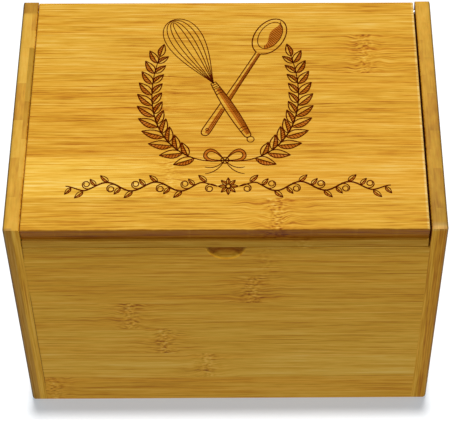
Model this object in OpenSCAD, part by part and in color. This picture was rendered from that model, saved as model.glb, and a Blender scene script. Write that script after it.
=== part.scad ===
// Recipe card box in laminated bamboo: two sloped side boards, a front, a back and a bottom let
// into them, and a lid that turns on two steel pins and closes flush between the side boards.
// The origin is the middle of the base. +X runs along the width, +Y to the back, +Z up.

/* [Box] */
// Width over the side boards
box_w = 184; // [150:1:240]
// Depth from the front face to the back face
box_d = 118; // [90:1:170]
// Height of the side boards at the front
front_h = 115; // [80:1:150]
// How much higher the side boards are at the back
back_rise = 26; // [10:1:45]
// Thickness of the side boards, the front and the back
board_t = 7; // [5.5:0.5:9]
// Radius of the side boards' outer edges
arris_r = 1.7; // [0.4:0.1:1.9]
// Radius of the side boards' upper edges at the inner face
inner_arris_r = 1; // [0.3:0.1:1.5]
// Radius of the side boards' upper edges at the rear end
rear_arris_r = 1.3; // [0.3:0.1:1.9]

/* [Bottom] */
// Thickness of the bottom panel
bottom_t = 4; // [3:0.5:6]
// Height of the bottom panel above the boards' lower edges
bottom_lift = 2; // [1.5:0.5:6]

/* [Tongues and grooves] */
// Thickness of the tongues on the ends of the front and the back
tongue_t = 3; // [2:0.5:4]
// Length of the tongues, and how far the bottom panel goes into its grooves
tongue_l = 3; // [2:0.1:3.5]
// Distance from a board's top edge to the top of its tongues
tongue_stop = 8; // [4:0.5:20]
// Room for glue at the end of each tongue
glue_gap = 0.2; // [0.1:0.05:0.4]

/* [Lid] */
// Thickness of the lid panel
lid_t = 7; // [6:0.5:9]
// Gap between the lid and the left side board
lid_gap_left = 0.3; // [0.2:0.05:1.5]
// Gap between the lid and the right side board
lid_gap_right = 0.8; // [0.2:0.05:1.5]
// Distance from the back face to the rearmost point of the lid
lid_back_inset = 0.2; // [0:0.1:1]
// Radius of the lid's upper edges at the front and the ends
lid_arris_r = 0.7; // [0.2:0.1:1]
// Radius of the lid's two rear corners, seen from above
lid_corner_r = 1; // [0.5:0.1:2]
// Depth of the rail under the lid, from the front corner of the side boards
rail_drop = 11; // [10:0.5:20]
// Distance from the front face back to the rail
rail_inset = 0.3; // [0:0.1:1.5]
// Thickness of the rail
rail_t = 6.2; // [4.5:0.1:6.5]
// Gap between the closed rail and the front panel
seat_gap = 0.2; // [0.2:0.05:0.6]
// Thickness of the tongue that holds the rail in the lid panel
rail_tongue_t = 2; // [1.5:0.5:3]
// Height of that tongue
rail_tongue_h = 2; // [1:0.5:3]
// Width of the shoulder behind that tongue
rail_shoulder = 1; // [0.5:0.5:2]
// Radius of the edges where the rail meets the front panel
seat_arris_r = 0.2; // [0.2:0.1:0.6]

/* [Thumb notch] */
// Width of the notch at the top edge of the front panel
notch_w = 17.4; // [12:0.2:30]
// Height of the notch
notch_h = 6.8; // [4:0.2:8]
// Depth to which the notch is scooped out
notch_d = 4.5; // [2:0.5:5]

/* [Hinge] */
// Diameter of the two hinge pins
pin_d = 3; // [2:0.1:3.5]
// Length of a pin inside the lid panel
pin_reach = 11; // [6:0.5:20]
// Clearance around a pin in the lid panel, on the radius
pin_play = 0.05; // [0.02:0.01:0.08]
// Room past the end of a pin in the lid panel
pin_end_gap = 0.6; // [0.2:0.1:2]
// Angle at which the open lid's rear edge meets the top of the back panel
lid_stop_angle = 107; // [104:0.5:112]
// Radius of the lid's upper rear edge, which meets the back panel at that angle
lid_stop_r = 1; // [0.6:0.1:1.5]

/* [Hidden] */
$fn = 96;
cut = 1;                                        // how far a cutter reaches past a surface

inner_w = box_w - 2*board_t;
front_y = -box_d/2;
back_y = box_d/2;
back_h = front_h + back_rise;
slope = atan(back_rise/box_d);                  // of the lid and the side boards' top edges
slope_l = box_d/cos(slope);
front_inner_y = front_y + board_t;
back_inner_y = back_y - board_t;

groove_d = tongue_l + glue_gap;
floor_z = bottom_lift + bottom_t;
front_top = front_h - rail_drop - seat_gap;

lid_x0 = -inner_w/2 + lid_gap_left;
lid_x1 = inner_w/2 - lid_gap_right;
lid_w = lid_x1 - lid_x0;
half_t = lid_t/2;
// Place of the pins along the slope: their lid edge is a round about the pin, level with the back
hinge_u = (box_d - lid_back_inset - half_t*(1 + sin(slope)))/cos(slope);
lid_l = hinge_u + half_t;
// The upper rear edge swings down onto the back panel: its round's centre, seen from the pin
stop_swing = sqrt(2)*(half_t - lid_stop_r);
stop_drop = stop_swing*sin(lid_stop_angle - 45) + lid_stop_r;
pin_bore_l = pin_reach + pin_end_gap;

rail_back_u = (rail_inset + rail_t - lid_t*sin(slope))/cos(slope);
rail_tongue_u = rail_back_u - rail_shoulder - rail_tongue_t;

// The notch is a ball's print: the circle on the face goes through the notch's width and height
notch_r = (notch_h*notch_h + notch_w*notch_w/4)/(2*notch_h);
notch_ball_r = (notch_r*notch_r + notch_d*notch_d)/(2*notch_d);

// Height at y of a plane that lies depth below the slope
function below_slope(y, depth) = front_h + (y - front_y)*tan(slope) - depth/cos(slope);

back_top_depth = half_t + stop_drop;
back_tongue_top = below_slope(back_inner_y, back_top_depth) - tongue_stop;

// Puts children on the slope: x across, y up the slope from the front edge, z square to it
module on_slope() {
    translate([0, front_y, front_h]) rotate([slope, 0, 0]) children();
}

// A bar across x, from an outline in y and z
module bar(x0, x1, outline) {
    translate([x0, 0, 0]) rotate([90, 0, 90]) linear_extrude(x1 - x0) polygon(outline);
}

// A block given by its two corners
module block(low, high) {
    translate(low) cube(high - low);
}

// Cutter that rounds an edge along +X, for a solid that lies at +Y and +Z of it
module round_edge(length, r) {
    difference() {
        block([-cut, -cut, -cut], [length + cut, r, r]);
        translate([-2*cut, r, r]) rotate([0, 90, 0]) cylinder(r = r, h = length + 4*cut);
    }
}

// Cutter that rounds the slope's rear end, where the top edge meets the back at a sharp angle
module round_rear_end(x0, x1, r) {
    y = back_y - r;
    z = below_slope(y, r);
    reach = r + cut;
    difference() {
        bar(x0, x1, [[y, z], [y + reach, z], [y + reach, z + reach*tan(45 + slope/2)],
                     [y - reach*sin(slope), z + reach*cos(slope)]]);
        translate([x0 - cut, y, z]) rotate([0, 90, 0]) cylinder(r = r, h = x1 - x0 + 2*cut);
    }
}

// A round along x through the side boards and the lid, on the hinge axis
module on_hinge(x0, x1, r) {
    on_slope() translate([x0, hinge_u, -half_t]) rotate([0, 90, 0]) cylinder(r = r, h = x1 - x0);
}

// The right side board, with stopped grooves for the tongues and one for the bottom panel
module side_board() {
    difference() {
        bar(inner_w/2, box_w/2, [[front_y, 0], [back_y, 0], [back_y, back_h], [front_y, front_h]]);
        groove_x0 = inner_w/2 - cut;
        groove_x1 = inner_w/2 + groove_d;
        block([groove_x0, front_inner_y - tongue_t, bottom_lift],
              [groove_x1, front_inner_y, front_top - tongue_stop + glue_gap]);
        block([groove_x0, back_inner_y, bottom_lift],
              [groove_x1, back_inner_y + tongue_t, back_tongue_top + glue_gap]);
        block([groove_x0, front_inner_y - tongue_t - glue_gap, bottom_lift],
              [groove_x1, back_inner_y + tongue_t + glue_gap, floor_z]);
        on_hinge(inner_w/2 - cut, box_w/2 + cut, pin_d/2);
        translate([box_w/2, front_y, 0]) rotate([0, 0, 90]) round_edge(box_d, arris_r);
        translate([box_w/2, front_y, 0]) rotate([0, -90, 0]) round_edge(front_h, arris_r);
        translate([box_w/2, back_y, 0]) rotate([0, -90, 90]) round_edge(back_h, arris_r);
        on_slope() translate([box_w/2, 0, 0]) rotate([-90, 0, 90]) round_edge(slope_l, arris_r);
        on_slope() translate([inner_w/2, slope_l, 0]) rotate([-90, 0, -90])
            round_edge(slope_l, inner_arris_r);
        round_rear_end(inner_w/2 - cut, box_w/2 + cut, rear_arris_r);
    }
}

module right_side() {
    color("#d2a04c") side_board();
}

module left_side() {
    color("#d2a04c") mirror([1, 0, 0]) side_board();
}

module front_panel() {
    color("#c39440")
    difference() {
        union() {
            block([-inner_w/2, front_y, 0], [inner_w/2, front_inner_y, front_top]);
            block([-inner_w/2 - tongue_l, front_inner_y - tongue_t, floor_z + glue_gap],
                  [inner_w/2 + tongue_l, front_inner_y, front_top - tongue_stop]);
        }
        block([-inner_w/2 - cut, front_inner_y - groove_d, bottom_lift],
              [inner_w/2 + cut, front_inner_y + cut, floor_z]);
        translate([0, front_y - notch_ball_r + notch_d, front_top - notch_h + notch_r])
            sphere(r = notch_ball_r);
        translate([-inner_w/2, front_y, front_top]) rotate([-90, 0, 0])
            round_edge(inner_w, seat_arris_r);
    }
}

module back_panel() {
    color("#c39440")
    difference() {
        union() {
            bar(-inner_w/2, inner_w/2,
                [[back_inner_y, 0], [back_y, 0],
                 [back_y, below_slope(back_y, back_top_depth)],
                 [back_inner_y, below_slope(back_inner_y, back_top_depth)]]);
            block([-inner_w/2 - tongue_l, back_inner_y, floor_z + glue_gap],
                  [inner_w/2 + tongue_l, back_inner_y + tongue_t, back_tongue_top]);
        }
        block([-inner_w/2 - cut, back_inner_y - cut, bottom_lift],
              [inner_w/2 + cut, back_inner_y + groove_d, floor_z]);
    }
}

module bottom_panel() {
    color("#b98a3a")
    block([-inner_w/2 - tongue_l, front_inner_y - tongue_l, bottom_lift],
          [inner_w/2 + tongue_l, back_inner_y + tongue_l, floor_z]);
}

// The rear edge is round about the pins below and eased above, where it meets the back panel
module lid_panel() {
    color("#e0ad52")
    difference() {
        on_slope() difference() {
            block([lid_x0, 0, -lid_t], [lid_x1, lid_l, 0]);
            translate([lid_x0, lid_l, -lid_t]) rotate([90, 0, 0]) round_edge(lid_w, half_t);
            translate([lid_x0, lid_l, 0]) rotate([180, 0, 0]) round_edge(lid_w, lid_stop_r);
            translate([lid_x0, 0, 0]) rotate([-90, 0, 0]) round_edge(lid_w, lid_arris_r);
            translate([lid_x1, 0, 0]) rotate([-90, 0, 90]) round_edge(lid_l, lid_arris_r);
            translate([lid_x0, lid_l, 0]) rotate([-90, 0, -90]) round_edge(lid_l, lid_arris_r);
            translate([lid_x0, lid_l, -lid_t]) rotate([0, -90, 180]) round_edge(lid_t, lid_corner_r);
            translate([lid_x1, lid_l, -lid_t]) rotate([0, -90, 90]) round_edge(lid_t, lid_corner_r);
            block([lid_x0 - cut, rail_tongue_u, -lid_t - cut],
                  [lid_x1 + cut, rail_tongue_u + rail_tongue_t, -lid_t + rail_tongue_h + glue_gap]);
        }
        on_hinge(lid_x0 - cut, lid_x0 + pin_bore_l, pin_d/2 + pin_play);
        on_hinge(lid_x1 - pin_bore_l, lid_x1 + cut, pin_d/2 + pin_play);
    }
}

// The rail hangs under the lid's front edge and closes down onto the front panel
module lid_rail() {
    rail_y0 = front_y + rail_inset;
    rail_y1 = rail_y0 + rail_t;
    rail_z = front_h - rail_drop;
    color("#c9993f")
    union() {
        difference() {
            bar(lid_x0, lid_x1,
                [[rail_y0, rail_z], [rail_y1, rail_z],
                 [rail_y1, below_slope(rail_y1, lid_t)], [rail_y0, below_slope(rail_y0, lid_t)]]);
            translate([lid_x0, rail_y0, rail_z]) round_edge(lid_w, seat_arris_r);
        }
        on_slope() block([lid_x0, rail_tongue_u, -lid_t - rail_tongue_h],
                         [lid_x1, rail_tongue_u + rail_tongue_t, -lid_t + rail_tongue_h]);
    }
}

// Each pin is flush outside, tight in the side board and free in the lid
module right_hinge_pin() {
    color("silver") on_hinge(lid_x1 - pin_reach, box_w/2, pin_d/2);
}

module left_hinge_pin() {
    color("silver") on_hinge(-box_w/2, lid_x0 + pin_reach, pin_d/2);
}

left_side();
right_side();
front_panel();
back_panel();
bottom_panel();
lid_panel();
lid_rail();
left_hinge_pin();
right_hinge_pin();
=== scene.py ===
"""Looks of the recipe card box: laminated bamboo boards with a satin lacquer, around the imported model.

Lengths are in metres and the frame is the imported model's: +X along the width, +Y to the back, +Z up.
Materials and the drawing on the lid are worked out in millimetres.
"""

import math

import bpy
import numpy as np
from mathutils import Matrix, Vector


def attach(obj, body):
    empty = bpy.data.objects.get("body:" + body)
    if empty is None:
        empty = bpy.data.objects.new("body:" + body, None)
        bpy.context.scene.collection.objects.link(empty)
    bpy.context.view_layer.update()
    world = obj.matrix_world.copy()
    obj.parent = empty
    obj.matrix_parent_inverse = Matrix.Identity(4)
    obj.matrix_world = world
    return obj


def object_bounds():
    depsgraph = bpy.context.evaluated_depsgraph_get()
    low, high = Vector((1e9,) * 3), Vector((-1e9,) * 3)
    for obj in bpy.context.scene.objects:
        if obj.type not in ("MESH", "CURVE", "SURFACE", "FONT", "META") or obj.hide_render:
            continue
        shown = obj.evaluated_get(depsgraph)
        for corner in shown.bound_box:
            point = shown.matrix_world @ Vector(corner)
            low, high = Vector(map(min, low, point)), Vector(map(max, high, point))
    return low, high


MM = 0.001
X = Vector((1, 0, 0))
Y = Vector((0, 1, 0))
Z = Vector((0, 0, 1))

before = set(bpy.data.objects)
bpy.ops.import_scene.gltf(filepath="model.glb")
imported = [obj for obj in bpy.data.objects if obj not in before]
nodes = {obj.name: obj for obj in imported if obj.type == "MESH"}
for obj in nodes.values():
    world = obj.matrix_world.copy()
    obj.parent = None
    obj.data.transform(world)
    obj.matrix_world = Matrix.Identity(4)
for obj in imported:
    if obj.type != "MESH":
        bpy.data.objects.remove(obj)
cad_low, cad_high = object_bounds()
width = cad_high[0] - cad_low[0]
height = cad_high[2] - cad_low[2]

# The slope of the lid and of the side boards' top edges
FRONT_HEIGHT = 115 * MM
BACK_RISE = 26 * MM
slope = math.atan2(BACK_RISE, cad_high[1] - cad_low[1])
UP_SLOPE = Vector((0, math.cos(slope), math.sin(slope)))
OFF_SLOPE = Vector((0, -math.sin(slope), math.cos(slope)))
SLOPE_FOOT = Vector((0, cad_low[1], FRONT_HEIGHT))


class Wire:
    """A node's output that takes part in Python sums: each operator adds its Math node."""

    def __init__(self, finish, socket):
        self.finish = finish
        self.socket = socket

    def sum(self, operation, *values):
        sockets = {i: value for i, value in enumerate(values)}
        return self.finish.node("ShaderNodeMath", {"operation": operation}, sockets)

    def __add__(self, other):
        return self.sum("ADD", self, other)

    def __radd__(self, other):
        return self.sum("ADD", other, self)

    def __sub__(self, other):
        return self.sum("SUBTRACT", self, other)

    def __rsub__(self, other):
        return self.sum("SUBTRACT", other, self)

    def __mul__(self, other):
        return self.sum("MULTIPLY", self, other)

    def __rmul__(self, other):
        return self.sum("MULTIPLY", other, self)

    def __gt__(self, other):
        return self.sum("GREATER_THAN", self, other)

    def __abs__(self):
        return self.sum("ABSOLUTE", self)

    def floor(self):
        return self.sum("FLOOR", self)

    def at_least(self, other):
        return self.sum("MAXIMUM", self, other)

    def at_most(self, other):
        return self.sum("MINIMUM", self, other)

    def bell(self, reach):
        """exp(-(x / reach)^2): 1 at 0, and near 0 past twice the reach."""
        scaled = self * (1 / reach)
        return self.sum("EXPONENT", scaled * scaled * -1)

    def ramp(self, low, high):
        """A smooth step from 0 at low to 1 at high, which may lie to either side of it."""
        sockets = {"Value": self, "From Min": low, "From Max": high}
        return self.finish.node("ShaderNodeMapRange", {"interpolation_type": "SMOOTHSTEP"}, sockets)


class Finish:
    """The shader of a material or a world. node() adds a node: its settings, then values or wires for
    its sockets."""

    def __init__(self, home):
        home.use_nodes = True
        self.home = home
        self.tree = home.node_tree
        self.tree.nodes.clear()

    def node(self, kind, settings=None, sockets=None, out=0):
        node = self.tree.nodes.new(kind)
        for name, value in (settings or {}).items():
            if name == "stops":
                self.set_stops(node.color_ramp, value)
            else:
                setattr(node, name, value)
        for name, value in (sockets or {}).items():
            if isinstance(value, Wire):
                self.tree.links.new(value.socket, node.inputs[name])
            else:
                node.inputs[name].default_value = value
        return Wire(self, node.outputs[out]) if node.outputs else None

    def set_stops(self, ramp, stops):
        ramp.interpolation = stops[0]
        while len(ramp.elements) < len(stops) - 1:
            ramp.elements.new(1.0)
        for element, (place, colour) in zip(ramp.elements, stops[1:]):
            element.position = place
            element.color = (*colour, 1.0)

    def vector(self, x, y, z):
        return self.node("ShaderNodeCombineXYZ", None, {"X": x, "Y": y, "Z": z})

    def along(self, place, direction):
        """How far place lies along a direction, in millimetres."""
        scaled = tuple(value / MM for value in direction)
        settings = {"operation": "DOT_PRODUCT"}
        return self.node("ShaderNodeVectorMath", settings, {0: place, 1: scaled}, "Value")

    def noise(self, place, detail):
        sockets = {"Vector": place, "Scale": 1.0, "Detail": detail, "Roughness": 0.5}
        return self.node("ShaderNodeTexNoise", {"noise_dimensions": "3D"}, sockets)

    def mix(self, factor, a, b, blend="MIX"):
        settings = {"data_type": "RGBA", "blend_type": blend}
        return self.node("ShaderNodeMix", settings, {0: factor, 6: a, 7: b}, 2)

    def show(self, shader):
        self.node("ShaderNodeOutputMaterial", None, {"Surface": shader})


# Strips of a board, from its first edge: tone, warmth, place of the knuckle along the grain as a
# share of the board, and how strong the knuckle is
LID_STRIPS = [
    (0.55, 0.42, 0.614, 0.90),
    (0.64, 0.85, 0.370, 0.45),
    (0.56, 0.65, 0.900, 0.00),
    (0.54, 0.55, 0.355, 0.30),
    (0.57, 0.45, 0.832, 0.72),
    (0.62, 0.50, 0.100, 0.00),
]
FRONT_STRIPS = [
    (0.54, 0.60, 0.060, 0.70),
    (0.67, 0.12, 0.447, 0.70),
    (0.64, 0.22, 0.345, 0.78),
    (0.57, 0.28, 0.266, 0.85),
    (0.55, 0.38, 0.558, 0.80),
    (0.53, 0.34, 0.592, 0.25),
    (0.53, 0.24, 0.674, 0.35),
]
LEFT_STRIPS = [
    (0.56, 0.25, 0.30, 0.00),
    (0.47, 0.30, 0.75, 0.70),
    (0.61, 0.10, 0.45, 0.80),
    (0.38, 0.35, 0.15, 0.60),
    (0.69, 0.20, 0.62, 0.80),
    (0.64, 0.15, 0.35, 0.70),
    (0.40, 0.40, 0.80, 0.50),
]
RIGHT_STRIPS = [
    (0.44, 0.40, 0.66, 0.00),
    (0.36, 0.40, 0.22, 0.60),
    (0.42, 0.35, 0.52, 0.80),
    (0.33, 0.40, 0.85, 0.70),
    (0.42, 0.35, 0.38, 0.60),
    (0.47, 0.35, 0.12, 0.80),
    (0.56, 0.40, 0.70, 0.60),
]

# Width of a strip, and how far into its strips each board begins
LID_STRIP, LID_START = 21.4, 5.9
FRONT_STRIP, FRONT_START, BACK_START = 17.4, 1.1, 53.3
SIDE_STRIP, LEFT_START, RIGHT_START = 19.0, 3.0, 9.0

# Colours from the darkest to the palest fibres, in the yellower and in the warmer strips
YELLOW = [
    (0.33, 0.092, 0.003),
    (0.58, 0.248, 0.013),
    (0.775, 0.407, 0.030),
    (0.90, 0.520, 0.065),
    (0.96, 0.63, 0.14),
]
ORANGE = [
    (0.34, 0.082, 0.002),
    (0.60, 0.215, 0.010),
    (0.795, 0.364, 0.022),
    (0.915, 0.470, 0.047),
    (0.965, 0.57, 0.11),
]
END_GRAIN = (0.80, 0.47, 0.10, 1.0)
SEAM = (0.30, 0.12, 0.012, 1.0)
SEAM_REACH = 0.12

# Layers of the fibres, the finest first: how strong, and how many waves in a millimetre along the
# fibres and across them
FIBRES = [
    (1.08, 0.040, 1.45),
    (0.38, 0.018, 0.60),
    (0.36, 0.009, 0.22),
    (0.24, 0.004, 0.075),
    (0.35, 0.150, 1.30),
]

# How much the fibres stand out, where it isn't 1
LID_CONTRAST = 1.18
FRONT_CONTRAST = 0.88

# How far along the grain from a knuckle the fibres bend, dark dashes go and flecks go
KNUCKLE_BENDS, KNUCKLE_DASHES, KNUCKLE_FLECKS = 16.0, 8.0, 3.2

GLOSS = 0.09


def even_stops(interpolation, colours):
    """A ramp's settings: colours at even steps from 0 to 1, or, where constant, in even shares of it."""
    steps = len(colours) - (interpolation == "LINEAR")
    return {"stops": [interpolation] + [(i / steps, colour) for i, colour in enumerate(colours)]}


class Bamboo(Finish):
    """Laminated bamboo, whose fibres run along grain and whose strips lie side by side along across.

    strips is the table of the strips and strip their width. length is the board's along the grain, in
    metres, and start how far into the strips the board begins. ply is the place along through where the
    second ply starts, whose strips are set over by half. contrast is how much the fibres stand out.

    g, c and d are the places along grain, across and through, in millimetres from origin. side is the
    place across from the first strip's edge, and bent is side as the fibres bend around a knuckle.
    """

    def __init__(self, name, grain, across, through, origin, strips, strip, length, start,
                 ply=None, contrast=1.0):
        super().__init__(bpy.data.materials.new(name))
        coordinates = self.node("ShaderNodeTexCoord", None, None, "Object")
        offset = {0: coordinates, 1: tuple(origin)}
        place = self.node("ShaderNodeVectorMath", {"operation": "SUBTRACT"}, offset)
        self.g = self.along(place, grain)
        self.c = self.along(place, across)
        self.d = self.along(place, through)
        normal = Wire(self, coordinates.socket.node.outputs["Normal"])
        self.end_grain = abs(self.along(normal, grain) * MM).ramp(0.60, 0.85)
        self.lay_strips(strips, strip, start, ply)
        self.mark_knuckles(length / MM)
        self.grow_fibres(contrast)

    def lay_strips(self, strips, strip, start, ply):
        """Which strip a place is in, how far it lies from the strip's seams, and what the table says."""
        second = self.d > ply if ply else 0.0
        self.side = self.c + start + second * strip * 0.5
        number = (self.side * (1 / strip)).floor()
        self.seed = number * 17.0 + second * 5.0
        inside = self.side * (1 / strip) - number
        self.from_seam = inside.at_most(1 - inside) * strip
        entry = (number + 0.5) * (1 / len(strips))
        columns = (self.look_up(column, entry) for column in zip(*strips))
        self.tone, self.warmth, self.knuckle, self.knuckle_strength = columns

    def look_up(self, column, entry):
        """The value in a table's column at entry, a share of the column."""
        stops = even_stops("CONSTANT", [(value,) * 3 for value in column])
        grey = self.node("ShaderNodeValToRGB", stops, {"Fac": entry})
        return self.node("ShaderNodeSeparateColor", None, {"Color": grey})

    def waves(self, along, across, side, detail=1.0):
        """Noise about 0, with that many waves in a millimetre along the fibres and across them."""
        place = self.vector(self.g * along + self.seed, side * across, self.d * across)
        return self.noise(place, detail) - 0.5

    def mark_knuckles(self, length):
        """The fibres bend around a strip's knuckle, with dark dashes and flecks among them."""
        off = self.g - (self.knuckle - 0.5) * length + self.waves(0.02, 0.35, self.side) * 5.0
        strength = self.knuckle_strength * (1 - self.end_grain)
        self.near = off.bell(KNUCKLE_BENDS) * strength
        halo = off.bell(KNUCKLE_DASHES) * strength
        core = off.bell(KNUCKLE_FLECKS) * strength
        self.bent = self.side + self.waves(0.10, 0.14, self.side) * self.near * 7.0
        dashes = self.waves(0.24, 1.25, self.bent)
        flecks = self.waves(0.55, 0.95, self.side)
        self.knots = flecks * core * 2.0 + dashes * halo * 1.6 - halo * 0.06 - self.near * 0.08

    def grow_fibres(self, contrast):
        """Fibres lengthwise, and the pores and mottles of end grain."""
        layers = [self.waves(along, across, self.bent) for _, along, across in FIBRES]
        self.finest = layers[0]
        lengthwise = sum(layer * amount for layer, (amount, _, _) in zip(layers, FIBRES))
        pores = self.noise(self.vector(self.g * 0.5, self.side * 0.10, self.d * 1.30), 2.0) - 0.5
        blots = self.vector(self.g * 0.03, self.side * 0.16 + self.seed, self.d * 0.40)
        self.mottle = (self.noise(blots, 2.0) - 0.5) * self.end_grain
        self.fibres = (lengthwise * contrast * (1 - self.end_grain)
                       + pores * self.end_grain * 0.55 + self.mottle * 0.60)

    def colour(self):
        """From dark to pale by tone and fibres, from yellow to orange by warmth, and dark at the seams."""
        value = (self.tone + self.fibres + self.knots).at_least(0.0).at_most(1.0)
        yellow = self.node("ShaderNodeValToRGB", even_stops("LINEAR", YELLOW), {"Fac": value})
        orange = self.node("ShaderNodeValToRGB", even_stops("LINEAR", ORANGE), {"Fac": value})
        hue = self.waves(0.012, 0.40, self.bent, 2.0)
        warmth = self.warmth + hue * 1.8 + self.mottle * 1.5 + self.near * 0.3
        colour = self.mix(warmth.at_least(0.0).at_most(1.0), yellow, orange)
        colour = self.mix(self.end_grain * 0.25, colour, END_GRAIN)
        return self.mix(self.from_seam.bell(SEAM_REACH) * 0.18, colour, SEAM)

    def lacquer(self, tints=(), gloss=GLOSS):
        """The material, with its tints: the wood's own marks, and painted shade and painted highlights. A
        tint
        is a pair: how much of it there is, worked out from g, c and d, and its colour."""
        colour = self.colour()
        for where, tint in tints:
            colour = self.mix(where(self.g, self.c, self.d), colour, (*tint, 1.0), "MULTIPLY")
        relief = {"Strength": 0.12, "Distance": 0.2 * MM, "Height": self.fibres + self.knots * 0.5}
        sockets = {
            "Base Color": colour,
            "Roughness": self.finest * 0.30 + 0.46,
            "Specular IOR Level": gloss,
            "Normal": self.node("ShaderNodeBump", None, relief),
        }
        self.show(self.node("ShaderNodeBsdfPrincipled", None, sockets))
        return self.home


def dress(names, material):
    for name in names:
        mesh = nodes[name].data
        mesh.materials.clear()
        mesh.materials.append(material)


# Colours that darken the wood, or make it paler where they are over 1; some are painted shade or painted
# highlights, as their masks say
# Partly a cut ply's darker tone, partly painted shade: on the lid's front edge and in the notch
PLY_TONE_AND_PAINTED_SHADE = (0.49, 0.34, 0.12)
# Painted shade on the rounded outer edges of the left and the right side boards
LEFT_EDGE_PAINTED_SHADE = (0.13, 0.15, 0.10)
RIGHT_EDGE_PAINTED_SHADE = (0.30, 0.31, 0.20)
GREY = (0.45, 0.41, 0.95)
TAN = (0.84, 0.70, 0.60)
# Darker toward the low end of the right board's sloped top edge
DARKER_TO_LOW_END = (0.62, 0.66, 0.74)
# A painted pale highlight on arrises
PAINTED_HIGHLIGHT = (1.12, 1.38, 3.80)
PALE = (1.14, 1.30, 1.70)
SHADE = (0.24, 0.09, 0.05)
GLUE = (0.30, 0.20, 0.06)
# A neutral darkening: painted shade on the rail's face, and darker at the left board's rear top end
NEUTRAL_DARKENING = (0.73, 0.71, 0.70)
# Painted shade on the front face under the rail
PAINTED_SHADE_UNDER_RAIL = (0.86, 0.86, 0.84)
# Partly the inner ply's tone, partly painted shade along the lid's gap
DARK = (0.66, 0.63, 0.45)
# Painted shade that dims the notch's lit lip
LIP = (0.92, 0.90, 0.65)
SCORCH = (0.70, 0.41, 0.40)
CHAR = (0.14, 0.032, 0.015)

# How far from the box's middle, or over its base, the faces lie that the stains follow, in millimetres
OUTER = cad_high[0] / MM
INNER = OUTER - 7.0
SECOND_PLY = INNER + 2.3
LID_RIGHT_END = INNER - 0.8
FRONT = cad_high[1] / MM
FRONT_TOP = 103.8
RAIL_TOP = 108.0


# How much of a tint, the wood's own or painted light, there is at a place: g along the grain, c across
# the strips and d through the board, in millimetres


def everywhere(g, c, d):
    return 1.0


def lid_front_edge(g, c, d):
    """The lid's cut front edge, with a ragged upper limit: darker, partly the ply's own tone and partly
    painted shade.
    """
    ragged = g.finish.noise(g.finish.vector(g * 0.16, 0.0, 0.0), 3.0) - 0.5
    return (c + ragged * 0.9).ramp(0.55, 0.05)


def pale_end(g, c, d):
    """The second strip of the lid, paler to the left."""
    first = LID_STRIP - LID_START
    last = first + LID_STRIP
    return c.ramp(first - 0.3, first + 1.3) * c.ramp(last - 0.3, last - 1.9) * g.ramp(30.0, -70.0)


def lid_right_end(g, c, d):
    """The lid's arris along the wider gap, with a painted pale highlight."""
    return g.ramp(LID_RIGHT_END - 1.4, LID_RIGHT_END - 0.6) * d.ramp(-0.9, -0.5)


def at_front(d):
    """1 on the front face, and 0 from 3 mm behind it."""
    return (d + FRONT).ramp(3.0, 1.5)


def notch_inside(g, c, d):
    """Behind the front face, under the notch's upper edge: painted shade in the hollow, partly also the
    inner ply's darker tone.
    """
    behind = d + FRONT
    return (abs(g).ramp(9.5, 8.0) * behind.ramp(0.1, 1.4) * behind.ramp(7.5, 6.5)
            * c.ramp(FRONT_TOP - 5.0, FRONT_TOP - 3.4) * c.ramp(FRONT_TOP - 0.1, FRONT_TOP - 0.4))


def notch_lip(g, c, d):
    """The rounded edge from the front face into the notch, dimmed by painted shade where the light catches
    it.
    """
    behind = d + FRONT
    return (abs(g).ramp(9.8, 9.0) * behind.ramp(0.01, 0.1) * behind.ramp(2.0, 1.2)
            * c.ramp(FRONT_TOP - 0.5, FRONT_TOP - 0.8))


def under_rail(g, c, d):
    """The front face, toward its top edge: painted shade under the rail and the lid's overhang."""
    return (c.ramp(FRONT_TOP - 7.3, FRONT_TOP - 1.3) * c.ramp(FRONT_TOP + 0.1, FRONT_TOP - 0.1)
            * at_front(d))


def rail_face(g, c, d):
    """The rail's front face, and the top edge of the front panel under it: painted shade under the lid's
    overhang.
    """
    return c.ramp(FRONT_TOP - 0.6, FRONT_TOP - 0.3) * c.ramp(RAIL_TOP + 0.5, RAIL_TOP) * at_front(d)


def left_joint(g, c, d):
    """The glue line between the front panel and the left side board, dark near its two ends."""
    ends = c.ramp(8.0, 14.0) * c.ramp(78.0, 70.0) + c.ramp(96.0, 99.0)
    return (g + INNER).bell(0.35) * (ends * 0.8 + 0.15).at_most(1.0) * at_front(d)


def outer_ply(g, c, d):
    """The side boards' front edges, on their outer ply."""
    return c.ramp(1.6, 0.4) * (d + SECOND_PLY).ramp(-0.3, -1.3) * 0.6


def outer_edge(g, c, d):
    """The rounded outer edge, up to where it meets the board's outer face; painted shade as it turns from
    the light.
    """
    inward = d + OUTER
    return (inward.ramp(1.1, 0.5) * 0.75 + inward.ramp(2.4, 1.4) * 0.10) * inward.ramp(0.005, 0.015)


def off_slope(g, c):
    """How far a place of a side board lies above its sloped top edge."""
    return (g - c * math.tan(slope) + (height / 2 - FRONT_HEIGHT) / MM) * math.cos(slope)


def sloped_edge(g, c):
    """1 on a side board's sloped top edge, and 0 from 1.6 mm below it."""
    return off_slope(g, c).ramp(-1.6, -0.6)


def beside_lid(g, c, d):
    """The inner face of a side board, where the closed lid and its rail hide it: painted shade of the gap
    beside the lid.
    """
    return (d + INNER).ramp(-0.12, -0.03) * off_slope(g, c).ramp(-9.0, -6.5)


def low_top(g, c, d):
    """The sloped top edge, more and more toward its low end."""
    return sloped_edge(g, c) * c.ramp(0.8, 2.4) * (c.ramp(34.0, 6.0) + c.ramp(118.0, 40.0)) * 0.36


def low_corner(g, c, d):
    """The low end of the sloped top edge, with a painted pale highlight."""
    return sloped_edge(g, c) * c.ramp(4.0, 1.5) * 0.6


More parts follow.
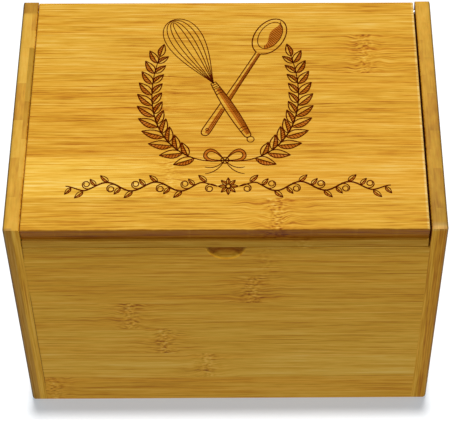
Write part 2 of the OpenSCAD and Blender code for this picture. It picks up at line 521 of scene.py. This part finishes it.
def rear_end(g, c, d):
    """The rear end of the sloped top edge, made darker and greyer."""
    return sloped_edge(g, c) * c.ramp(109.5, 112.0)


def inner_ply(g, c, d):
    """One strip of the inner ply on the sloped top edge, darker toward the back: partly ply tone, partly
    painted shade by the gap.
    """
    return sloped_edge(g, c) * (d + SECOND_PLY).ramp(-0.1, 0.1) * c.ramp(40.0, 75.0) * c.ramp(92.3, 91.7)


def lid_wood(name, tints, gloss=GLOSS):
    """Grain across the lid, and strips up its slope."""
    wood = Bamboo(name, X, UP_SLOPE, OFF_SLOPE, SLOPE_FOOT, LID_STRIPS, LID_STRIP, width, LID_START,
                  contrast=LID_CONTRAST)
    return wood.lacquer(tints, gloss)


def panel_wood(name, grain, start, tints=(), contrast=1.0):
    """Grain across the panel, and strips from the base up."""
    wood = Bamboo(name, grain, Z, Y, (0, 0, 0), FRONT_STRIPS, FRONT_STRIP, width, start, contrast=contrast)
    return wood.lacquer(tints)


def side_wood(name, through, strips, start, tints):
    """Upright grain, and strips from front to back in two plies."""
    foot = Vector((0, cad_low[1], height / 2))
    wood = Bamboo(name, Z, Y, through, foot, strips, SIDE_STRIP, height, start, ply=-SECOND_PLY)
    return wood.lacquer(tints)


def dress_boards():
    lid = [(lid_front_edge, PLY_TONE_AND_PAINTED_SHADE), (lid_right_end, PAINTED_HIGHLIGHT), (pale_end, PALE)]
    front = [(notch_inside, PLY_TONE_AND_PAINTED_SHADE), (notch_lip, LIP), (under_rail, PAINTED_SHADE_UNDER_RAIL), (rail_face, NEUTRAL_DARKENING),
             (left_joint, GLUE)]
    left = [(outer_ply, GREY), (outer_edge, LEFT_EDGE_PAINTED_SHADE), (rear_end, NEUTRAL_DARKENING), (inner_ply, DARK)]
    right = [(outer_ply, TAN), (outer_edge, RIGHT_EDGE_PAINTED_SHADE), (beside_lid, SHADE), (low_top, DARKER_TO_LOW_END),
             (low_corner, PAINTED_HIGHLIGHT)]
    dress(["lid_panel"], lid_wood("lid_bamboo", lid))
    dress(["front_panel", "lid_rail"], panel_wood("front_bamboo", X, FRONT_START, front, FRONT_CONTRAST))
    dress(["back_panel", "bottom_panel"], panel_wood("back_bamboo", -X, BACK_START))
    dress(["left_side"], side_wood("left_bamboo", X, LEFT_STRIPS, LEFT_START, left))
    dress(["right_side"], side_wood("right_bamboo", -X, RIGHT_STRIPS, RIGHT_START, right))


def dress_pins():
    """Plain steel with fine marks along the pins."""
    f = Finish(bpy.data.materials.new("steel_pin"))
    place = f.node("ShaderNodeTexCoord", None, None, "Object")
    stretched = f.vector(f.along(place, X) * 0.5, f.along(place, Y) * 9.0, f.along(place, Z) * 9.0)
    marks = f.noise(stretched, 2.0)
    sockets = {"Base Color": (0.60, 0.60, 0.58, 1.0), "Metallic": 1.0, "Roughness": marks * 0.3 + 0.2}
    f.show(f.node("ShaderNodeBsdfPrincipled", None, sockets))
    dress(["left_hinge_pin", "right_hinge_pin"], f.home)


dress_boards()
dress_pins()


# The drawing burnt into the lid, in millimetres on the lid's face: x to the right, u up the slope


def even(count, low=0.0, high=1.0):
    """So many numbers at even steps from low to high."""
    return np.linspace(low, high, count)


def circle(radius, tall=None, first=0.0, last=2 * math.pi, count=25):
    """Arc of an ellipse about (0, 0): (radius cos a, tall sin a) from a = first to last."""
    a = even(count, first, last)
    return np.stack([radius * np.cos(a), (tall or radius) * np.sin(a)], axis=1)


def placed(lines, angle, at, size=1.0):
    """Lines scaled, turned by angle and moved to at, each of which may differ from line to line."""
    c, s = np.cos(angle), np.sin(angle)
    turn = np.moveaxis(np.array([[c, -s], [s, c]]), (0, 1), (-2, -1))
    size = np.asarray(size)[..., None, None]
    return np.einsum("...ij,...pj->...pi", turn, lines * size) + np.asarray(at)[..., None, :]


def loops(reaches, widths):
    """Pear-shaped loops from (0, 0) and back: x = reach c, y = width sin a c^0.7, c = (1 + cos a) / 2."""
    a = even(48, -math.pi, math.pi)
    c = (1 + np.cos(a)) / 2
    reaches, widths = (np.asarray(values)[:, None] for values in (reaches, widths))
    return np.stack([reaches * c, widths * np.sin(a) * c ** 0.7], axis=2)


def curls(start, heading, length, turns):
    """Curls that tighten: the heading has turned by turns q^1.6 circles at the share q of the length."""
    q = even(40)
    heading, length, turns = (np.asarray(values)[:, None] for values in (heading, length, turns))
    heading = heading + 2 * math.pi * turns * q ** 1.6
    steps = np.stack([np.cos(heading), np.sin(heading)], axis=2) * length[..., None] / len(q)
    return np.asarray(start)[:, None] + np.cumsum(steps, axis=1) - steps[:, :1]


def curve(points, q):
    """Places and headings at the shares q along the cubic Bezier curve with four control points."""
    a, b, c, d = np.array(points, float)
    q = q[:, None]
    place = a * (1 - q) ** 3 + 3 * b * q * (1 - q) ** 2 + 3 * c * q * q * (1 - q) + d * q ** 3
    run = (b - a) * (1 - q) ** 2 + 2 * (c - b) * q * (1 - q) + (d - c) * q * q
    return place, np.arctan2(run[:, 1], run[:, 0])


class Drawing:
    """Burnt lines, and scorched tones under them, about a place on the lid's face.

    Both are bands, arrays of line, point, edge, and x and u. twin adds a band's image across x = 0.
    """

    def __init__(self, at):
        self.at = at
        self.lines = []
        self.tones = []

    def draw(self, lines, width, taper=0.0, twin=False):
        """Bands along lines. With taper a band narrows to both its ends, as sin(pi q)^taper at the
        share q of its points."""
        lines = np.asarray(lines, float)
        run = np.gradient(lines, axis=1)
        run /= np.linalg.norm(run, axis=2, keepdims=True)
        side = np.stack([-run[..., 1], run[..., 0]], axis=2)
        side *= (width / 2 * np.sin(math.pi * even(lines.shape[1], 0.03, 0.97)) ** taper)[:, None]
        self.add(self.lines, lines - side, lines + side, twin)

    def shade(self, rights, lefts, twin=False):
        """Tones between lines and the lines to the left of them, point by point."""
        self.add(self.tones, np.asarray(rights), np.asarray(lefts), twin)

    def add(self, bands, rights, lefts, twin):
        bands.append(np.stack([rights, lefts], axis=2) + self.at)
        if twin:
            bands.append(np.stack([lefts, rights], axis=2) * (-1, 1) + self.at)


def leaf_side(q):
    """Half the width of a leaf of length 1 at the share q: 0.21 sin(pi q^0.8)."""
    return 0.21 * np.sin(math.pi * q ** 0.8)


def leaves(drawing, at, heading, length, width, hatches=6, twin=True):
    """Leaves with a midrib along y = 0 and edges at plus and minus leaf_side. One half is in shade, with
    hatching that leans from the midrib to the edge."""
    q = even(13)
    foot = even(hatches, 0.12, 0.78)
    rib = np.stack([q * 0.95, 0 * q], 1)
    edges = [np.stack([q, side * leaf_side(q)], 1) for side in (1, -1)]
    hatching = np.stack([np.stack([foot, 0 * foot], 1),
                         np.stack([foot + 0.1, -0.93 * leaf_side(foot + 0.1)], 1)], axis=1)
    heading, length, at = (np.asarray(values)[:, None] for values in (heading, length, at))
    outline = placed(np.array([*edges, rib])[None], heading, at, length)
    hatching = placed(hatching[None], heading, at, length)
    drawing.shade(outline[:, 1], outline[:, 2], twin)
    drawing.draw(outline.reshape(-1, len(q), 2), width=width, taper=0.15, twin=twin)
    drawing.draw(hatching.reshape(-1, 2, 2), width=0.28, taper=0.0, twin=twin)


class Tool:
    """A kitchen tool of the drawing, drawn along x and put at its place and angle."""

    def __init__(self, drawing, at, angle):
        self.drawing = drawing
        self.at = at
        self.angle = angle

    def draw(self, lines, width, taper=0.0):
        self.drawing.draw(placed(np.array(lines), self.angle, self.at), width=width, taper=taper)

    def shade(self, rights, lefts):
        self.drawing.shade(*(placed(np.array(lines), self.angle, self.at) for lines in (rights, lefts)))


def spoon(tool, crossed_at, crossing):
    """A wooden spoon, its half width sqrt(handle^2 + bowl^2) with an ellipse as the bowl.

    Its handle is left out where it passes under the whisk's, which it meets at the angle crossing. The
    shade in the bowl's hollow reaches in from its edge by 0.9 + 0.25 cos(3 x) of its half width there,
    at the share x of its half length.
    """
    bowl, bowl_length, bowl_width = 60.5, 10.5, 6.6
    hollow, hollow_length, hollow_width = 61.1, 8.0, 4.7
    neck = 50.0
    grip = 1.5

    def half_width(s):
        handle = np.interp(s, [0, 3, 30, 52, 62], [1.6, 1.9, 1.25, 1.1, 0])
        ellipse = np.sqrt(np.clip(1 - ((s - bowl) / bowl_length) ** 2, 0, None)) * bowl_width
        return np.hypot(handle, ellipse)

    tool.draw([circle(grip, 1.65, math.pi / 2, 3 * math.pi / 2) + (grip, 0)], width=0.48)
    tool.draw([circle(0.6) + (3.4, 0)], width=0.38)

    # The handle's two edges and two lines between them, then its tone
    hidden = 2.25 / math.sin(crossing)
    for share, width, taper in ((1.0, 0.48, 0.0), (-1.0, 0.48, 0.0), (-0.2, 0.25, 0.3), (-0.6, 0.25, 0.3)):
        middle = crossed_at + share * 1.6 / math.tan(crossing)
        for s in (even(12, grip, middle - hidden), even(20, middle + hidden, neck)):
            tool.draw([np.stack([s, share * half_width(s)], 1)], width=width, taper=taper)
    for s in (even(12, grip, crossed_at - hidden - 1.0), even(20, crossed_at + hidden - 0.5, neck)):
        tool.shade([np.stack([s, -half_width(s)], 1)], [np.stack([s, 0.1 * half_width(s)], 1)])

    # The bowl, and the hatched shade in its hollow
    s = bowl + bowl_length * np.sin(even(40, math.asin((neck - bowl) / bowl_length), math.pi / 2))
    tool.draw([np.stack([s, half_width(s)], 1), np.stack([s, -half_width(s)], 1)], width=0.56)
    tool.draw([circle(hollow_length, hollow_width, count=44) + (hollow, 0)], width=0.40)
    along = even(17, -0.97, 0.97)[:, None]
    q = even(7)
    across = hollow_width * np.sqrt(1 - along ** 2) * (q * (0.9 + 0.25 * np.cos(3 * along)) - 1)
    hatching = np.stack([hollow + hollow_length * along + 1.6 * q, across], axis=2)
    tool.draw(hatching, width=0.30, taper=0.3)
    tool.shade([hatching[:, 0]], [hatching[:, -1]])


def whisk(tool):
    """A balloon whisk, from the hanging ring over the turned handle to the wires, which are loops.

    Half the handle's width is 1.5 + 0.75 sin(pi q)^0.8 at the share q of its length, and its rings
    bulge as 0.35 (1 - q^2) from edge to edge.
    """
    handle = 27.4
    neck = 3.6
    s = even(24, 0, handle)
    half = 1.5 + 0.75 * np.sin(math.pi * s / handle) ** 0.8
    tool.draw([np.stack([s, half], 1), np.stack([s, -half], 1)], width=0.50)
    tool.draw([np.stack([s, -half * share], 1) for share in (0.25, 0.5, 0.75)], width=0.25, taper=0.3)
    tool.shade([np.stack([s, -half], 1)], [np.stack([s, 0.3 * half], 1)])
    tool.draw([circle(1.6, 1.5, math.pi / 2, 3 * math.pi / 2)], width=0.50)
    tool.draw([circle(1.5) - (2.9, 0)], width=0.42)
    rings = np.array([2.5, 4.0, 24.5, 26.0, handle])[:, None]
    q = even(9, -1, 1)
    tool.draw(np.stack([rings + 0.35 * (1 - q ** 2), 1.75 * q + 0 * rings], axis=2), width=0.36)
    s = even(3, handle, handle + neck)
    half = 1.6 - 0.125 * (s - handle)
    tool.draw([np.stack([s, half], 1), np.stack([s, -half], 1)], width=0.48)
    rings = even(3, handle + 1.2, handle + neck)[:, None]
    tool.draw(np.stack([rings + 0 * even(2), 1.3 * even(2, 1, -1) + 0 * rings], axis=2), width=0.36)
    tool.draw(loops([40.0, 39.6, 39.0, 38.4], [11.5, 8.4, 5.2, 2.2]) + (handle + 3.0, 0), width=0.42)


def branches(drawing):
    """Two branches that rise from the bow along a cubic curve, with leaves at even steps along both
    their sides and one at the tip."""
    stem = [(0.5, -38.0), (21.0, -41.0), (39.0, -20.0), (29.0, 17.0)]
    q = even(60)
    place, _ = curve(stem, q)
    drawing.draw(place[None], width=0.62, taper=0.25, twin=True)
    step = np.linalg.norm(np.diff(place, axis=0), axis=1)
    share = np.append(0, np.cumsum(step)) / step.sum()
    for turn, first, longest, count in ((-0.7, 0.17, 10.5, 11), (0.7, 0.21, 8.2, 11), (0.0, 1.0, 10.0, 1)):
        along = even(count, first, max(first, 0.95))
        at, heading = curve(stem, np.interp(along, share, q))
        length = longest * np.interp(along, [0, 0.35, 1], [0.8, 1.0, 0.72])
        leaves(drawing, at, heading + turn, length, width=0.56)


def bow(drawing):
    """A loop of ribbon to each side with the shade between its edges, four curling ends and a knot."""
    at = (0.0, -37.8)
    ribbon = placed(loops([9.5, 8.2], [4.2, 2.6]), 0.42, at)
    drawing.draw(ribbon, width=0.46, twin=True)
    drawing.shade(ribbon[:1], ribbon[1:], twin=True)
    ends = curls([at] * 2, [-1.08, -0.87], [11.5, 10.0], [0.16, 0.20])
    drawing.draw(ends, width=0.44, taper=0.2, twin=True)
    drawing.draw([circle(1.7, 1.5) + at], width=0.50)


def vine(drawing):
    """A wavy vine, u = swing sin(2 pi (x - first) / wave), out to both sides of a flower, with a curl
    in each hollow and small leaves."""
    first, last, wave = 4.5, 68.0, 20.6
    x = even(120, first, last)
    swing = np.interp(x, [first, 12, 60, last], [0.4, 2.3, 2.0, 0.6])
    stem = np.stack([x, swing * np.sin(2 * math.pi * (x - first) / wave)], 1)
    drawing.draw([stem], width=0.80, taper=0.2, twin=True)
    hollow = np.arange(6)
    crest = first + wave / 4 + hollow * wave / 2
    up = 1 - 2 * (hollow % 2)
    same = np.ones(6)
    start = np.stack([crest - 0.235 * wave, 0.15 * up], 1)
    drawing.draw(curls(start, 0.62 * up, 15.5 * same, -1.45 * up), width=0.52, taper=0.2, twin=True)
    for along, high, turn, length in ((-0.6, 2.3, 0.75, 4.8), (0.22 * wave, 0.5, 0.9, 4.2)):
        at = np.stack([crest + along, high * up], 1)
        leaves(drawing, at, turn * up, length * same, width=0.42, hatches=3)
    petals = even(8, 0, 1.75 * math.pi)
    at = circle(0.7, last=petals[-1], count=8)
    leaves(drawing, at, petals, 3.6 * np.ones(8), width=0.42, hatches=2, twin=False)


def sheet(name, bands, lift, material):
    """Bands as one mesh that far off the lid's face: foot + x across + u up the slope."""
    first = np.cumsum([0] + [band[..., 0].size for band in bands])
    faces = []
    for start, band in zip(first, bands):
        corner = start + np.arange(band[..., 0].size).reshape(band.shape[:3])
        quads = [corner[:, :-1, 0], corner[:, 1:, 0], corner[:, 1:, 1], corner[:, :-1, 1]]
        faces.append(np.stack(quads, axis=-1).reshape(-1, 4))
    flat = np.concatenate([band.reshape(-1, 2) for band in bands]) * MM
    places = np.array(SLOPE_FOOT + OFF_SLOPE * lift) + flat @ np.array([X, UP_SLOPE])
    mesh = bpy.data.meshes.new(name)
    mesh.from_pydata(places.tolist(), [], np.concatenate(faces).tolist())
    mesh.materials.append(material)
    piece = bpy.data.objects.new(name, mesh)
    bpy.context.scene.collection.objects.link(piece)
    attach(piece, "lid")
    return piece


def lid_drawing():
    """The crossed tools between two branches, and the vine below them."""
    emblem = Drawing((-0.5, 72.0))
    spoon(Tool(emblem, (-9.3, -25.0), math.radians(61.5)), crossed_at=19.7, crossing=math.radians(57))
    whisk(Tool(emblem, (9.5, -24.6), math.radians(118.5)))
    branches(emblem)
    bow(emblem)
    border = Drawing((1.0, 21.2))
    vine(border)
    tones = sheet("lid_drawing_tones", emblem.tones + border.tones, lift=0.015 * MM,
                  material=lid_wood("scorched_bamboo", [(everywhere, SCORCH)], gloss=0.0))
    lines = sheet("lid_drawing_lines", emblem.lines + border.lines, lift=0.03 * MM,
                  material=lid_wood("burnt_bamboo", [(everywhere, CHAR)], gloss=0.0))
    return [tones, lines]


drawing = lid_drawing()


# Light: a lamp overhead in an even room, and the floor, which has a lamp of its own for the shadow
ROOM_LIGHT = 0.52
OVERHEAD = 0.49 * math.pi
FLOOR_LAMP = 1.14 * math.pi
FLOOR_BOUNCE = (0.47, 0.47, 0.47, 1.0)
FLOOR_WHITE = (0.58, 0.58, 0.58, 1.0)
FLOOR_GLOW = (0.240, 0.278, 0.315, 1.0)
FLOOR_HALF = 3.0
OVERHEAD_FROM = (0.14, -0.035, 1.0)
FLOOR_LAMP_FROM = (0.0, 0.088, 1.0)
LAMP_SPREAD = math.radians(4.4)


def seen(f):
    """1 for rays that show a surface to the eye, straight or in gloss, and 0 for those that light it."""
    rays = [f.node("ShaderNodeLightPath", None, None, "Is " + kind + " Ray")
            for kind in ("Camera", "Glossy", "Transmission")]
    return rays[0].at_least(rays[1]).at_least(rays[2])


def floor():
    """White floor. Only the eye sees it white: its bounce on the box is the even one of a grey table."""
    f = Finish(bpy.data.materials.new("white_floor"))
    bounce = f.node("ShaderNodeEmission", None, {"Color": FLOOR_BOUNCE})
    white = f.node("ShaderNodeBsdfDiffuse", None, {"Color": FLOOR_WHITE})
    glow = f.node("ShaderNodeEmission", None, {"Color": FLOOR_GLOW})
    white = f.node("ShaderNodeAddShader", None, {0: white, 1: glow})
    f.show(f.node("ShaderNodeMixShader", None, {0: seen(f), 1: bounce, 2: white}))
    mesh = bpy.data.meshes.new("floor")
    corners = [(FLOOR_HALF * x, FLOOR_HALF * y, 0) for x, y in ((-1, -1), (1, -1), (1, 1), (-1, 1))]
    mesh.from_pydata(corners, [], [(0, 1, 2, 3)])
    mesh.materials.append(f.home)
    plane = bpy.data.objects.new("floor", mesh)
    bpy.context.scene.collection.objects.link(plane)
    return plane


def room():
    """An even room. The camera and gloss see it white, and it lights the box at ROOM_LIGHT."""
    world = bpy.data.worlds.new("room")
    bpy.context.scene.world = world
    f = Finish(world)
    shine = f.node("ShaderNodeBackground", None, {"Strength": seen(f) * (1 - ROOM_LIGHT) + ROOM_LIGHT})
    f.node("ShaderNodeOutputWorld", None, {"Surface": shine})


def lamp(name, energy, direction, lit_objects):
    """A lamp far away in that direction, which lights those objects and no others."""
    data = bpy.data.lights.new(name, "SUN")
    data.energy = energy
    data.angle = LAMP_SPREAD
    ob = bpy.data.objects.new(name, data)
    ob.rotation_euler = Vector(direction).to_track_quat("Z", "Y").to_euler()
    bpy.context.scene.collection.objects.link(ob)
    lit = bpy.data.collections.new(name)
    for lit_object in lit_objects:
        lit.objects.link(lit_object)
    ob.light_linking.receiver_collection = lit


# The camera, solved from the photograph's perspective of the box's corners
CAMERA_AT = (9.955 * MM, -473.175 * MM, 557.221 * MM)
CAMERA_PITCH = math.radians(46.965)
CAMERA_YAW = math.radians(-0.688)
CAMERA_ROLL = math.radians(0.263)
CAMERA_LENS = 117.70
CAMERA_SHIFT = (-0.0809, 0.0477)


def camera():
    data = bpy.data.cameras.new("camera")
    data.lens = CAMERA_LENS
    data.sensor_width = 36.0
    data.shift_x, data.shift_y = CAMERA_SHIFT
    data.clip_start = 0.01
    data.clip_end = 20.0
    ob = bpy.data.objects.new("camera", data)
    turn = (Matrix.Rotation(CAMERA_YAW, 4, "Z") @ Matrix.Rotation(math.pi / 2 - CAMERA_PITCH, 4, "X")
            @ Matrix.Rotation(CAMERA_ROLL, 4, "Z"))
    ob.matrix_world = Matrix.Translation(CAMERA_AT) @ turn
    bpy.context.scene.collection.objects.link(ob)
    bpy.context.scene.camera = ob


room()
lamp("overhead", OVERHEAD, OVERHEAD_FROM, [*nodes.values(), *drawing])
lamp("floor_lamp", FLOOR_LAMP, FLOOR_LAMP_FROM, [floor()])
camera()
bpy.context.scene.view_settings.view_transform = "Standard"
